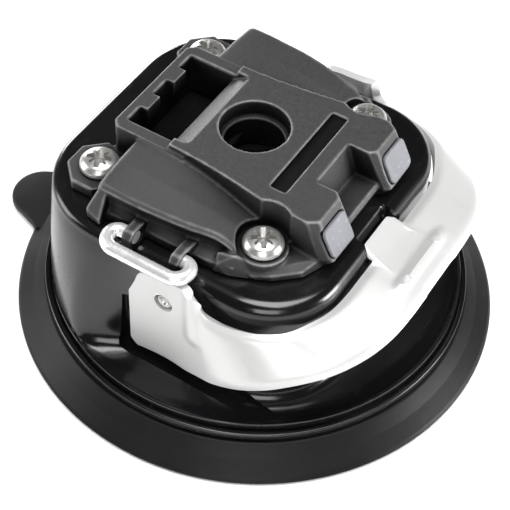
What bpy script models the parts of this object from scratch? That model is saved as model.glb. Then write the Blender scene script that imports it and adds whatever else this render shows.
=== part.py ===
"""Lever-operated suction-cup base with a quick-release mounting block on top.

A rubber cup is pulled up in the middle by a post. The post hangs on a cross pin, and the
sheet-metal lever turns on the same pin. The lever is modelled closed, with the cup pulled up.
Frame: origin on the cup's axis, in the plane of its sealing rim. +Z up the post. +X towards
the lever's handle. The pin lies along Y. Built in metres.
"""

import math

import bmesh
import bpy
from mathutils import Matrix, Vector

MM = 0.001
GAP = 0.3 * MM                   # clearance between pieces that touch
ROUND_STEPS = 72                 # segments round a large turned piece
SMALL_STEPS = 28                 # segments round a pin, screw or post

# Suction cup
RIM_RADIUS = 44.0 * MM
SEAL_INNER = 40.5 * MM
CUP_CROWN = 4.1 * MM             # height of the underside at the centre
TAB_ANGLE = math.radians(186.1)
TAB_DISTANCE = 46.0 * MM
TAB_RADIUS = 6.0 * MM

# Base ring and housing
RING_RADIUS = 38.6 * MM
RING_BOTTOM = 5.4 * MM
FLANGE_RADIUS = 37.4 * MM
FLANGE_BOTTOM = 6.3 * MM
FLANGE_TOP = 8.6 * MM
DECK_TOP = 31.0 * MM
DECK_THICKNESS = 2.6 * MM
WALL = 2.6 * MM
TOWER_HALF_WIDTH = 27.6 * MM     # along Y
TOWER_BACK = -32.0 * MM
TOWER_FRONT = 24.2 * MM
FRONT_CORNER = 13.5 * MM         # radius of the tower's corners under the lever's handle
BACK_CORNER = 16.0 * MM

# Lever, pin and post
PIN_HEIGHT = 25.6 * MM
PIN_RADIUS = 1.5 * MM
PIN_HALF_LENGTH = 29.7 * MM
STEM_DROP = 3.0 * MM             # how far the post sinks as the lever opens
SHEET = 1.5 * MM
EAR_PLANE = 29.25 * MM           # middle of the sheet, from the XZ plane
POST_RADIUS = 5.0 * MM

# Mounting plate
PLATE_BOTTOM = DECK_TOP + GAP
EAR_TOP = 33.6 * MM
SCREW_EAR = 5.7 * MM             # corner radius of the octagonal ears round the rear screws
POCKET_BLOCK_TOP = 39.6 * MM
BLOCK_TOP = 40.6 * MM
HOLE_X = -1.68 * MM
HOLE_RADIUS = 6.04 * MM
HOLE_LEDGE_RADIUS = 5.2 * MM
REAR_SCREW = (-21.95 * MM, 16.56 * MM)
FRONT_SCREW = (10.86 * MM, 17.17 * MM)
SCREW_SHANK = 1.6 * MM
SCREW_HEAD = 3.5 * MM

# Lanyard ring
RING_WIRE = 1.2 * MM
RING_AXIS_Y = -26.0 * MM
RING_AXIS_Z = 33.1 * MM

FINISHES = {
    "rubber": ((0.012, 0.012, 0.013), 0.62, 0.0),
    "gloss_black": ((0.010, 0.010, 0.011), 0.12, 0.0),
    "matte_grey": ((0.070, 0.071, 0.072), 0.55, 0.0),
    "pad_grey": ((0.36, 0.36, 0.38), 0.6, 0.0),
    "sheet_steel": ((0.86, 0.86, 0.86), 0.28, 1.0),
    "bright_steel": ((0.75, 0.75, 0.74), 0.18, 1.0),
    "spring_steel": ((0.55, 0.55, 0.55), 0.3, 1.0),
    "brass": ((0.75, 0.58, 0.25), 0.35, 1.0),
    "nylon": ((0.80, 0.79, 0.75), 0.5, 0.0),
}


# ---------------------------------------------------------------- scene helpers

def clear_scene():
    for old in list(bpy.data.objects):
        bpy.data.objects.remove(old, do_unlink=True)


def make_collection(name):
    made = bpy.data.collections.new(name)
    bpy.context.scene.collection.children.link(made)
    return made


def make_material(name):
    colour, roughness, metallic = FINISHES[name]
    made = bpy.data.materials.new(name)
    made.use_nodes = True
    shader = made.node_tree.nodes["Principled BSDF"]
    shader.inputs["Base Color"].default_value = (*colour, 1.0)
    shader.inputs["Roughness"].default_value = roughness
    shader.inputs["Metallic"].default_value = metallic
    made.diffuse_color = (*colour, 1.0)
    return made


def add_object(name, mesh, collection):
    made = bpy.data.objects.new(name, mesh)
    collection.objects.link(made)
    return made


def as_cutter(piece):
    piece.hide_render = True
    piece.display_type = "WIRE"
    return piece


def finish(piece, material, smooth_angle=None):
    piece.data.materials.clear()
    piece.data.materials.append(material)
    if smooth_angle is not None:
        piece.data.shade_smooth()
        piece.data.set_sharp_from_angle(angle=math.radians(smooth_angle))
    return piece


def boolean(piece, other, operation):
    modifier = piece.modifiers.new(f"{operation.lower()} {other.name}", "BOOLEAN")
    modifier.operation = operation
    modifier.object = other
    modifier.solver = "EXACT"


def cut(piece, *others):
    for other in others:
        boolean(piece, as_cutter(other), "DIFFERENCE")


def join(piece, *others):
    for other in others:
        boolean(piece, as_cutter(other), "UNION")


def frozen(piece, name, collection):
    """A new mesh object holding the piece's evaluated shape, in place of the piece."""
    bpy.context.view_layer.update()
    graph = bpy.context.evaluated_depsgraph_get()
    mesh = bpy.data.meshes.new_from_object(piece.evaluated_get(graph))
    work = bmesh.new()
    work.from_mesh(mesh)
    bmesh.ops.remove_doubles(work, verts=work.verts, dist=1e-6)
    bmesh.ops.recalc_face_normals(work, faces=work.faces)
    work.to_mesh(mesh)
    work.free()
    place = piece.matrix_world.copy()
    bpy.data.objects.remove(piece, do_unlink=True)
    made = add_object(name, mesh, collection)
    made.matrix_world = place
    return made


# ---------------------------------------------------------------- shape helpers

def box(name, low, high, collection):
    """A box between two corners, given in metres."""
    mesh = bpy.data.meshes.new(name)
    work = bmesh.new()
    size = Vector(high) - Vector(low)
    middle = (Vector(high) + Vector(low)) / 2
    place = Matrix.Translation(middle) @ Matrix.Diagonal((*size, 1.0))
    bmesh.ops.create_cube(work, size=1.0, matrix=place)
    work.to_mesh(mesh)
    work.free()
    return add_object(name, mesh, collection)


def cylinder(name, start, end, radius, collection, steps=SMALL_STEPS):
    """A round bar between two points, given in metres."""
    mesh = bpy.data.meshes.new(name)
    work = bmesh.new()
    line = Vector(end) - Vector(start)
    turn = line.to_track_quat("Z", "Y").to_matrix().to_4x4()
    place = Matrix.Translation((Vector(start) + Vector(end)) / 2) @ turn
    bmesh.ops.create_cone(work, cap_ends=True, segments=steps, radius1=radius,
                          radius2=radius, depth=line.length, matrix=place)
    work.to_mesh(mesh)
    work.free()
    return add_object(name, mesh, collection)


def turned(name, profile, collection, steps=ROUND_STEPS, closed=False):
    """A profile of (radius, height) in millimetres, turned about Z."""
    mesh = bpy.data.meshes.new(name)
    points = [(r * MM, 0.0, z * MM) for r, z in profile]
    edges = [(i, i + 1) for i in range(len(points) - 1)]
    if closed:
        edges.append((len(points) - 1, 0))
    mesh.from_pydata(points, edges, [])
    made = add_object(name, mesh, collection)
    screw = made.modifiers.new("turn", "SCREW")
    screw.steps = steps
    screw.render_steps = steps
    screw.use_merge_vertices = True
    screw.merge_threshold = 0.00001
    return made


def flat_outline(name, points, bottom, top, collection, place=None):
    """An outline of (x, y) in metres, filled and extruded between two heights."""
    curve = bpy.data.curves.new(name, "CURVE")
    curve.dimensions = "2D"
    curve.fill_mode = "BOTH"
    curve.extrude = (top - bottom) / 2
    spline = curve.splines.new("POLY")
    spline.points.add(len(points) - 1)
    for point, (x, y) in zip(spline.points, points):
        point.co = (x, y, 0.0, 1.0)
    spline.use_cyclic_u = True
    made = add_object(f"{name}_outline", curve, collection)
    lift = Matrix.Translation((0.0, 0.0, (top + bottom) / 2))
    made.matrix_world = (place or Matrix.Identity(4)) @ lift
    return frozen(made, name, collection)


def faceted(name, points, collection):
    """The convex block around a few corner points, given in millimetres."""
    mesh = bpy.data.meshes.new(name)
    work = bmesh.new()
    for x, y, z in points:
        work.verts.new((x * MM, y * MM, z * MM))
    hull = bmesh.ops.convex_hull(work, input=work.verts)
    spare = [v for v in hull["geom_interior"] if isinstance(v, bmesh.types.BMVert)]
    bmesh.ops.delete(work, geom=spare, context="VERTS")
    bmesh.ops.recalc_face_normals(work, faces=work.faces)
    work.to_mesh(mesh)
    work.free()
    return add_object(name, mesh, collection)


def arc(centre, radius, start, end, count):
    """Points on an arc, angles in degrees."""
    angles = [math.radians(start + (end - start) * i / count) for i in range(count + 1)]
    return [(centre[0] + radius * math.cos(a), centre[1] + radius * math.sin(a)) for a in angles]


def rounded_rectangle(low, high, radius, count=4):
    """An outline with round corners, anticlockwise."""
    (x0, y0), (x1, y1) = low, high
    corners = [((x1 - radius, y1 - radius), 0), ((x0 + radius, y1 - radius), 90),
               ((x0 + radius, y0 + radius), 180), ((x1 - radius, y0 + radius), 270)]
    points = []
    for centre, start in corners:
        points += arc(centre, radius, start, start + 90, count)
    return points


def smooth_step(low, high, value):
    t = min(max((value - low) / (high - low), 0.0), 1.0)
    return t * t * (3 - 2 * t)


# ---------------------------------------------------------------- rubber cup and pull

def make_suction_cup(parts, cutters):
    """Cup with a moulded centre boss that closes round the core disc and the post's foot."""
    rim = RIM_RADIUS / MM
    profile = [(0, 5.9), (11.3, 5.9), (11.3, 7.6), (8.3, 7.6), (8.3, 9.2), (5.4, 9.2), (5.4, 10.4),
               (12.6, 10.4), (13.6, 9.8), (14.4, 7.6), (20, 6.0), (30, 5.1), (38.8, 5.0),
               (rim - 0.4, 1.3), (rim, 0.7), (rim - 0.2, 0.2), (rim - 0.8, 0),
               (SEAL_INNER / MM, 0), (38, 0.8), (30, 2.5), (20, 3.4), (10, 4.0),
               (0, CUP_CROWN / MM)]
    cup = turned("suction_cup", profile, parts)
    tab_centre = (TAB_DISTANCE * math.cos(TAB_ANGLE), TAB_DISTANCE * math.sin(TAB_ANGLE))
    facing = math.degrees(TAB_ANGLE)
    outline = arc(tab_centre, TAB_RADIUS, facing - 80, facing + 80, 18)
    root, deep = RIM_RADIUS - 0.5 * MM, RIM_RADIUS - 3.5 * MM
    for distance, turn in ((root, 10.4), (deep, 9), (deep, 3), (deep, -3), (deep, -9),
                           (root, -10.4)):
        angle = TAB_ANGLE + math.radians(turn)
        outline.append((distance * math.cos(angle), distance * math.sin(angle)))
    join(cup, flat_outline("pull_tab", outline, 0.5 * MM, 2.3 * MM, cutters))
    return cup


def make_core_disc(parts):
    return turned("core_disc", [(0, 7.3), (11.0, 7.3), (11.0, 6.2), (0, 6.2)], parts, SMALL_STEPS)


def make_lift_post(parts, cutters):
    shaft = POST_RADIUS / MM
    profile = [(0, 28.0), (shaft - 0.8, 28.0), (shaft, 27.2), (shaft, 8.9), (8.0, 8.9), (8.0, 7.6),
               (0, 7.6)]
    post = turned("lift_post", profile, parts, SMALL_STEPS)
    bore = cylinder("post_bore", (0, -9 * MM, PIN_HEIGHT), (0, 9 * MM, PIN_HEIGHT),
                    PIN_RADIUS + GAP, cutters)
    cut(post, bore)
    return post


def make_return_spring(parts):
    """Helical spring round the post, between its seat washer and the guide bush."""
    low, high, turns, steps_per_turn = 12.1, 16.0, 2.6, 14
    mean_radius, wire = 7.7, 0.6
    curve = bpy.data.curves.new("return_spring", "CURVE")
    curve.dimensions = "3D"
    curve.bevel_depth = wire * MM
    curve.bevel_resolution = 2
    curve.use_fill_caps = True
    spline = curve.splines.new("POLY")
    count = int(turns * steps_per_turn)
    spline.points.add(count)
    for i, point in enumerate(spline.points):
        angle = 2 * math.pi * turns * i / count
        height = low + (high - low) * i / count
        point.co = (mean_radius * math.cos(angle) * MM, mean_radius * math.sin(angle) * MM,
                    height * MM, 1.0)
    coil = add_object("return_spring_path", curve, parts)
    return frozen(coil, "return_spring", parts)


def make_spring_seat(parts):
    bore = POST_RADIUS / MM + 0.5
    return turned("spring_seat", [(9.2, 11.3), (9.2, 10.7), (bore, 10.7), (bore, 11.3)],
                  parts, SMALL_STEPS, closed=True)


def make_guide_bush(parts, cutters):
    bore = (POST_RADIUS + GAP) / MM
    profile = [(6.6, 28.0), (6.6, 17.6), (9.2, 17.6), (9.2, 16.8), (bore, 16.8), (bore, 28.0)]
    bush = turned("guide_bush", profile, parts, SMALL_STEPS, closed=True)
    cut(bush, pin_slot("bush_slot", 12 * MM, cutters))
    return bush


def pin_slot(name, half_length, cutters):
    """The upright slot in which the pin rides up and down."""
    side = PIN_RADIUS + 1.3 * GAP
    return box(name, (-side, -half_length, PIN_HEIGHT - STEM_DROP - side),
               (side, half_length, PIN_HEIGHT + side), cutters)


# ---------------------------------------------------------------- housing

def tower_point(angle, inset):
    """Where a ray from the axis meets the tower's rounded outline."""
    low_x, high_x = TOWER_BACK + inset, TOWER_FRONT - inset
    half_y = TOWER_HALF_WIDTH - inset
    c, s = math.cos(angle), math.sin(angle)
    corner = (FRONT_CORNER if c > 0 else BACK_CORNER) - inset
    reach = min((high_x / c) if c > 1e-9 else (low_x / c) if c < -1e-9 else 1.0,
                (half_y / abs(s)) if abs(s) > 1e-9 else 1.0)
    x, y = reach * c, reach * s
    centre_x = high_x - corner if x > 0 else low_x + corner
    centre_y = math.copysign(half_y - corner, y)
    if abs(x) > abs(centre_x) and abs(y) > abs(centre_y):
        along = centre_x * c + centre_y * s
        off = centre_x ** 2 + centre_y ** 2 - corner ** 2
        reach = along + math.sqrt(max(along * along - off, 0.0))
        x, y = reach * c, reach * s
    return x, y


def housing_loft(name, inset, lever_side, back_side, foot, collection):
    """Loft from the tower's outline down to a circle.

    lever_side and back_side hold (share of the way out to the foot circle, height in mm) from
    top to bottom. The two blend round the tower, so the round back wall turns into the flat
    side behind the lever.
    """
    work = bmesh.new()
    steps = ROUND_STEPS
    rows = []
    for (t_open, z_open), (t_back, z_back) in zip(lever_side, back_side):
        row = []
        for i in range(steps):
            angle = 2 * math.pi * (i + 0.5) / steps - math.pi
            wall = smooth_step(math.radians(100), math.radians(124), abs(angle))
            share = t_open + (t_back - t_open) * wall
            height = z_open + (z_back - z_open) * wall
            tower_x, tower_y = tower_point(angle, inset)
            x = tower_x + (foot * math.cos(angle) - tower_x) * share
            y = tower_y + (foot * math.sin(angle) - tower_y) * share
            row.append(work.verts.new((x, y, height * MM)))
        rows.append(row)
    for upper, lower in zip(rows, rows[1:]):
        for i in range(steps):
            j = (i + 1) % steps
            work.faces.new((upper[i], lower[i], lower[j], upper[j]))
    work.faces.new(rows[0])
    work.faces.new(list(reversed(rows[-1])))
    bmesh.ops.recalc_face_normals(work, faces=work.faces)
    bmesh.ops.triangulate(work, faces=[f for f in work.faces if len(f.verts) == 4])
    mesh = bpy.data.meshes.new(name)
    work.to_mesh(mesh)
    work.free()
    return add_object(name, mesh, collection)


def screw_places():
    """Name and position of each plate screw."""
    places = []
    for end, (x, y) in (("rear", REAR_SCREW), ("front", FRONT_SCREW)):
        places.append((f"{end}_left", x, -y))
        places.append((f"{end}_right", x, y))
    return places


def make_base_ring(parts):
    outer, low, ledge = RING_RADIUS / MM, RING_BOTTOM / MM, (FLANGE_BOTTOM - GAP) / MM
    lip = (FLANGE_RADIUS + GAP) / MM
    profile = [(outer, 7.1), (outer, low), (31, low), (31, ledge), (lip, ledge), (lip, 7.1)]
    return turned("base_ring", profile, parts, closed=True)


def make_housing(parts, cutters):
    deck = DECK_TOP / MM
    foot = FLANGE_RADIUS
    flange_top, flange_bottom = FLANGE_TOP / MM, FLANGE_BOTTOM / MM
    lever_side = [(-0.16, deck), (-0.09, deck - 0.25), (-0.03, deck - 0.9), (0.0, deck - 2.4),
                  (0.0, 24.0), (0.0, 18.0), (0.0, 12.0), (0.06, 9.4), (0.3, 8.0), (0.7, 7.8),
                  (0.93, flange_top), (1.0, flange_top), (1.0, flange_bottom)]
    back_side = [(-0.16, deck), (-0.08, deck), (-0.03, deck), (0.03, deck - 0.5),
                 (0.22, 27.0), (0.45, 22.5), (0.66, 17.8), (0.80, 14.0), (0.90, 11.2),
                 (0.95, 9.6), (0.97, flange_top), (1.0, flange_top), (1.0, flange_bottom)]
    housing = housing_loft("housing", 0.0, lever_side, back_side, foot, parts)
    top = deck - DECK_THICKNESS / MM
    inner_open = [(0.0, top), (0.0, 20.0), (0.0, 12.0), (0.0, 4.0)]
    inner_back = [(0.0, top), (0.42, 20.0), (0.78, 12.0), (0.9, 4.0)]
    cavity = housing_loft("housing_cavity", WALL, inner_open, inner_back,
                          foot - WALL, cutters)
    cut(housing, cavity)
    guide = turned("post_guide", [(9.6, 29.4), (9.6, 18.0), (6.9, 18.0), (6.9, 29.4)],
                   cutters, SMALL_STEPS, closed=True)
    join(housing, guide)
    for name, x, y in screw_places():
        join(housing, cylinder(f"boss_{name}", (x, y, 20 * MM), (x, y, DECK_TOP - MM),
                               4.2 * MM, cutters))
    for name, x, y in screw_places():
        seat = cylinder(f"insert_bore_{name}", (x, y, 24.2 * MM), (x, y, 33 * MM),
                        2.9 * MM, cutters)
        pilot = cylinder(f"pilot_{name}", (x, y, 20.9 * MM), (x, y, 26 * MM),
                         SCREW_SHANK + GAP, cutters)
        cut(housing, seat, pilot)
    cut(housing, pin_slot("housing_slot", 32 * MM, cutters))
    cut(housing, cylinder("deck_window", (0, 0, 20 * MM), (0, 0, 33 * MM), 5.9 * MM, cutters))
    notch = box("tongue_notch", (21.2 * MM, -5.4 * MM, 27.0 * MM),
                (26.0 * MM, 5.4 * MM, 34.0 * MM), cutters)
    cut(housing, notch)
    for side in (-1, 1):
        low = (TOWER_HALF_WIDTH - 0.15 * MM) * side
        high = (TOWER_HALF_WIDTH + 3.2 * MM) * side
        channel = box(f"ear_channel_{'left' if side < 0 else 'right'}",
                      (-9.5 * MM, min(low, high), 7.7 * MM),
                      (21.0 * MM, max(low, high), 20 * MM), cutters)
        cut(housing, channel)
    return housing


# ---------------------------------------------------------------- lever and pin

def lever_stations():
    """Upper and lower edge of the lever's sheet, from the ear's back to the handle's middle."""
    e = EAR_PLANE / MM
    return [((-6.9, -e, 24.4), (-6.9, -e, 11.9)),
            ((-5.7, -e, 27.4), (-5.7, -e, 10.5)),
            ((-4.5, -e, 30.3), (-4.2, -e, 10.6)),
            ((-1.5, -e, 31.2), (-1.2, -e, 10.9)),
            ((1.5, -e, 31.4), (2.0, -29.5, 11.2)),
            ((4.2, -e, 31.5), (5.2, -30.3, 12.0)),
            ((6.0, -29.3, 30.6), (8.6, -31.4, 13.8)),
            ((6.7, -29.5, 28.8), (11.5, -32.4, 15.4)),
            ((8.2, -29.7, 27.3), (14.5, -32.9, 17.0)),
            ((11.0, -29.6, 26.9), (17.6, -32.8, 18.5)),
            ((14.2, -29.0, 27.0), (21.0, -31.7, 19.9)),
            ((17.6, -27.7, 27.1), (24.6, -29.5, 21.3)),
            ((20.7, -25.5, 27.2), (28.2, -26.5, 22.6)),
            ((23.2, -22.2, 27.3), (31.1, -23.0, 23.8)),
            ((24.9, -18.4, 27.4), (33.2, -19.2, 24.8)),
            ((25.6, -14.0, 27.5), (34.5, -15.0, 25.6)),
            ((25.7, -9.5, 27.6), (35.0, -10.0, 26.0)),
            ((25.7, -4.6, 27.6), (35.1, -4.6, 26.1)),
            ((25.7, 0.0, 27.6), (35.1, 0.0, 26.1))]


def make_lever(parts, cutters, pivot):
    """Pressed sheet lever: two ears, two sloping arms, a cross handle and its locating tongue."""
    work = bmesh.new()
    across = 5
    rows = []
    for upper, lower in lever_stations():
        upper, lower = Vector(upper) * MM, Vector(lower) * MM
        row = [work.verts.new(upper.lerp(lower, i / across)) for i in range(across + 1)]
        rows.append(row)
    for here, there in zip(rows, rows[1:]):
        for i in range(across):
            work.faces.new((here[i], here[i + 1], there[i + 1], there[i]))
    tongue = [work.verts.new(Vector((22.4, y, 28.9)) * MM) for y in (-4.2, 0.0)]
    work.faces.new((tongue[0], rows[-2][0], rows[-1][0], tongue[1]))
    bmesh.ops.recalc_face_normals(work, faces=work.faces)
    mesh = bpy.data.meshes.new("lever")
    work.to_mesh(mesh)
    work.free()
    mesh.transform(Matrix.Translation((0, 0, -PIN_HEIGHT)))
    lever = add_object("lever", mesh, parts)
    lever.parent = pivot
    mirror = lever.modifiers.new("other side", "MIRROR")
    mirror.use_axis = (False, True, False)
    mirror.merge_threshold = 0.00001
    sheet = lever.modifiers.new("sheet", "SOLIDIFY")
    sheet.thickness = SHEET
    sheet.offset = 0.0
    sheet.use_even_offset = True
    bore = cylinder("lever_bore", (0, -36 * MM, PIN_HEIGHT), (0, 36 * MM, PIN_HEIGHT),
                    PIN_RADIUS + GAP, cutters)
    cut(lever, bore)
    return lever


def make_pivot_pin(parts, pivot):
    """Cross pin with small chamfers at its riveted ends."""
    radius, half, chamfer = PIN_RADIUS / MM, PIN_HALF_LENGTH / MM, 0.4
    profile = [(0, half), (radius - chamfer, half), (radius, half - chamfer),
               (radius, chamfer - half), (radius - chamfer, -half), (0, -half)]
    pin = turned("pivot_pin", profile, parts, SMALL_STEPS)
    pin.rotation_euler = (math.pi / 2, 0, 0)
    pin.parent = pivot
    return pin


def make_pin_washer(name, side, parts):
    """Thin washer between the housing's side and one ear of the lever."""
    radius, bore, thickness = 3.8, (PIN_RADIUS + GAP) / MM, 0.35
    profile = [(radius, thickness), (radius, 0), (bore, 0), (bore, thickness)]
    washer = turned(name, profile, parts, SMALL_STEPS, closed=True)
    washer.rotation_euler = (-side * math.pi / 2, 0, 0)
    washer.location = (0, side * (TOWER_HALF_WIDTH + 0.25 * MM), PIN_HEIGHT)
    return washer


# ---------------------------------------------------------------- mounting plate

def mirrored(points):
    return [(x, -y, z) for x, y, z in points]


def make_wing(name, side, cutters):
    """Sloping wing beside the block, as corner points of the +Y one."""
    points = [(-17.0, 11.5, 39.2), (-11.2, 11.7, 39.5), (7.2, 13.4, 36.1), (-16.5, 23.8, 38.2),
              (-9.5, 23.8, 38.0), (-2.5, 23.2, 37.7), (4.4, 21.7, 37.2), (8.6, 21.7, 35.0),
              (6.2, 23.0, 32.0), (8.8, 22.9, 31.5), (-16.5, 23.8, 31.3), (-2.5, 23.6, 31.3),
              (6.2, 22.8, 31.3), (9.0, 22.0, 31.3), (-18.0, 14.0, 31.3), (-17.0, 8.0, 39.2),
              (-17.0, 8.0, 31.3), (9.0, 8.0, 31.3), (7.2, 8.0, 36.1)]
    return faceted(name, points if side > 0 else mirrored(points), cutters)


def make_wing_corners(label, side, cutters):
    """Flared corners at the wing's two ends, as corner points of the +Y ones."""
    rear = [(-17.4, 20.4, 37.6), (-16.5, 23.7, 38.1), (-15.0, 23.7, 38.0), (-18.3, 25.6, 33.4),
            (-15.2, 26.2, 32.5), (-18.4, 25.4, 31.3), (-15.2, 26.0, 31.3), (-15.0, 22.0, 31.3),
            (-18.6, 20.0, 31.3)]
    front = [(5.4, 22.4, 34.6), (6.0, 23.6, 33.2), (8.6, 22.0, 35.2), (8.4, 23.4, 31.3),
             (11.2, 22.2, 31.3), (12.2, 21.4, 31.3), (9.6, 21.4, 34.9), (12.2, 20.4, 31.8),
             (8.0, 19.0, 31.3), (5.4, 23.9, 31.3), (8.0, 20.0, 34.6)]
    return [faceted(f"{end}_corner_{label}", points if side > 0 else mirrored(points), cutters)
            for end, points in (("rear", rear), ("front", front))]


def make_prong(name, side, cutters):
    """One of the two raised prongs at the lever end, with a steep front face."""
    top = BLOCK_TOP / MM
    points = [(9.0, 5.2, top), (17.2, 5.2, top), (18.34, 6.2, top), (18.34, 12.6, top),
              (16.6, 13.8, top), (9.0, 13.4, top), (20.9, 5.4, 33.5), (21.89, 6.3, 33.5),
              (21.8, 13.0, 33.5), (19.4, 14.0, 33.5), (9.0, 13.6, 33.6), (19.2, 5.6, 31.3),
              (20.2, 6.4, 31.3), (20.0, 12.8, 31.3), (18.4, 13.8, 31.3), (9.0, 13.6, 31.3),
              (9.0, 5.2, 31.3)]
    return faceted(name, points if side > 0 else mirrored(points), cutters)


def make_front_foot(name, side, cutters):
    """Low faceted skirt round a front screw."""
    points = [(8.0, 12.0, 33.6), (8.0, 21.6, 33.4), (11.6, 22.0, 32.2), (14.6, 20.6, 32.6),
              (18.2, 17.2, 32.6), (19.6, 13.4, 33.4), (17.0, 12.0, 33.6), (14.2, 19.4, 33.4),
              (8.0, 21.8, 31.3), (12.0, 21.8, 31.3), (14.8, 20.4, 31.3), (18.5, 17.0, 31.3),
              (20.0, 13.0, 31.3), (8.0, 12.0, 31.3), (17.0, 12.0, 31.3)]
    return faceted(name, points if side > 0 else mirrored(points), cutters)


def pad_frame(side):
    """Place of a grip pad: local X up the prong's front face, local Z out of it."""
    slope = Vector((18.34 - 21.54, 0, 40.6 - 34.2)).normalized()
    across = Vector((0, 1, 0))
    out = slope.cross(across).normalized()
    if out.x < 0:
        across = -across
        out = -out
    turn = Matrix((slope, across, out)).transposed().to_4x4()
    middle = Vector((20.367, side * 9.9, 36.549)) * MM
    return Matrix.Translation(middle) @ turn


def pad_block(name, side, grow, bottom, top, collection):
    half_height, half_width = 2.7 * MM + grow, 3.15 * MM + grow
    outline = rounded_rectangle((-half_height, -half_width), (half_height, half_width), 1.3 * MM)
    return flat_outline(name, outline, bottom, top, collection, pad_frame(side))


def make_mount_plate(parts, cutters):
    """Moulded plate: pocket block, main block, prongs, wings and screw ears."""
    side_y = 12.05
    bottom = PLATE_BOTTOM / MM
    pocket_block = [(-22.75, 10.8), (-21.5, side_y), (-8.0, side_y)]
    outline = [(x * MM, y * MM) for x, y in pocket_block]
    outline += [(x, -y) for x, y in reversed(outline)]
    plate = flat_outline("mount_plate", outline, PLATE_BOTTOM, POCKET_BLOCK_TOP, parts)
    top, edge = BLOCK_TOP / MM, BLOCK_TOP / MM - 0.5
    block = [(-11.3, 11.3, top - 0.3), (-10.9, 11.0, top), (8.0, 13.1, top), (10.0, 13.1, top),
             (8.0, 13.6, edge), (10.0, 13.6, edge), (-11.3, 11.7, edge - 0.2),
             (-11.3, 11.7, bottom), (8.0, 13.6, bottom), (10.0, 13.6, bottom)]
    floor = [(9.0, 5.6, 34.6), (19.5, 5.6, 34.6), (19.9, 5.6, 33.8), (19.2, 5.6, bottom),
             (9.0, 5.6, bottom)]
    slope = [(9.0, 5.6, top), (13.4, 5.6, top), (15.4, 5.6, 34.0), (9.0, 5.6, 34.0)]
    join(plate, faceted("block_core", block + mirrored(block), cutters))
    join(plate, faceted("notch_slope", slope + mirrored(slope), cutters))
    join(plate, faceted("notch_floor", floor + mirrored(floor), cutters))
    for side, label in ((-1, "left"), (1, "right")):
        join(plate, make_prong(f"prong_{label}", side, cutters))
        join(plate, make_wing(f"wing_{label}", side, cutters))
        join(plate, *make_wing_corners(label, side, cutters))
        join(plate, make_front_foot(f"front_foot_{label}", side, cutters))
        ear = [(REAR_SCREW[0] + SCREW_EAR * math.cos(math.radians(a)),
                side * REAR_SCREW[1] + SCREW_EAR * math.sin(math.radians(a)))
               for a in range(22, 382, 45)]
        join(plate, flat_outline(f"rear_ear_{label}", ear, PLATE_BOTTOM, EAR_TOP, cutters))
    join(plate, faceted("ring_lug_rear", ring_lug(-9.6, -7.6), cutters))
    join(plate, faceted("ring_lug_front", ring_lug(-0.4, 1.6), cutters))
    cut_plate(plate, cutters)
    return plate


def ring_lug(low_x, high_x):
    """Corner points of one lug that holds an end of the lanyard ring."""
    y, z = RING_AXIS_Y / MM, RING_AXIS_Z / MM
    section = [(y - 2.0, z - 1.2), (y - 2.0, z + 0.8), (y - 1.0, z + 1.9), (y + 1.2, z + 1.9),
               (y + 4.0, z + 1.4), (y + 4.0, z - 1.7), (y - 1.3, z - 1.7)]
    return [(x, a, b) for x in (low_x, high_x) for a, b in section]


def cut_plate(plate, cutters):
    """Pocket, post window, notch, label recess, screw holes and pad seats."""
    pocket = box("pocket", (-20.9 * MM, -9.6 * MM, 30 * MM), (-12.1 * MM, 9.6 * MM, 45 * MM),
                 cutters)
    lip = faceted("pocket_lip", [(x, y, z) for y in (-9.6, 9.6) for x, z in
                                 ((-13.0, 38.4), (-12.1, 38.4), (-8.6, 40.61), (-8.6, 43),
                                  (-13.0, 43))], cutters)
    cut(plate, pocket, lip)
    for i, y in enumerate((-4.0, 4.0)):
        tooth = box(f"pocket_tooth_{i}", (-21.4 * MM, (y - 1.9) * MM, 36.4 * MM),
                    (-19.4 * MM, (y + 1.9) * MM, POCKET_BLOCK_TOP), cutters)
        join(plate, tooth)
    cut(plate, cylinder("window", (HOLE_X, 0, 37.4 * MM), (HOLE_X, 0, 45 * MM),
                        HOLE_RADIUS, cutters, 48))
    cut(plate, cylinder("window_step", (HOLE_X, 0, 30 * MM), (HOLE_X, 0, 38 * MM),
                        HOLE_LEDGE_RADIUS, cutters, 48))
    cut(plate, box("label_recess", (7.54 * MM, -10.12 * MM, 40.1 * MM),
                   (10.5 * MM, 10.12 * MM, 42 * MM), cutters))
    for name, x, y in screw_places():
        cut(plate, cylinder(f"screw_hole_{name}", (x, y, 30 * MM), (x, y, 45 * MM),
                            SCREW_SHANK + GAP, cutters))
        if x > 0:
            cut(plate, cylinder(f"counterbore_{name}", (x, y, EAR_TOP), (x, y, 45 * MM),
                                4.5 * MM, cutters))
        else:
            cut(plate, cylinder(f"head_room_{name}", (x, y, EAR_TOP), (x, y, 45 * MM),
                                SCREW_HEAD + GAP, cutters))
    for side, label in ((-1, "left"), (1, "right")):
        cut(plate, pad_block(f"pad_seat_{label}", side, GAP, -0.5 * MM, 4 * MM, cutters))
    cut(plate, cylinder("ring_bore", (-13 * MM, RING_AXIS_Y, RING_AXIS_Z),
                        (3 * MM, RING_AXIS_Y, RING_AXIS_Z), RING_WIRE + GAP, cutters))


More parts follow.
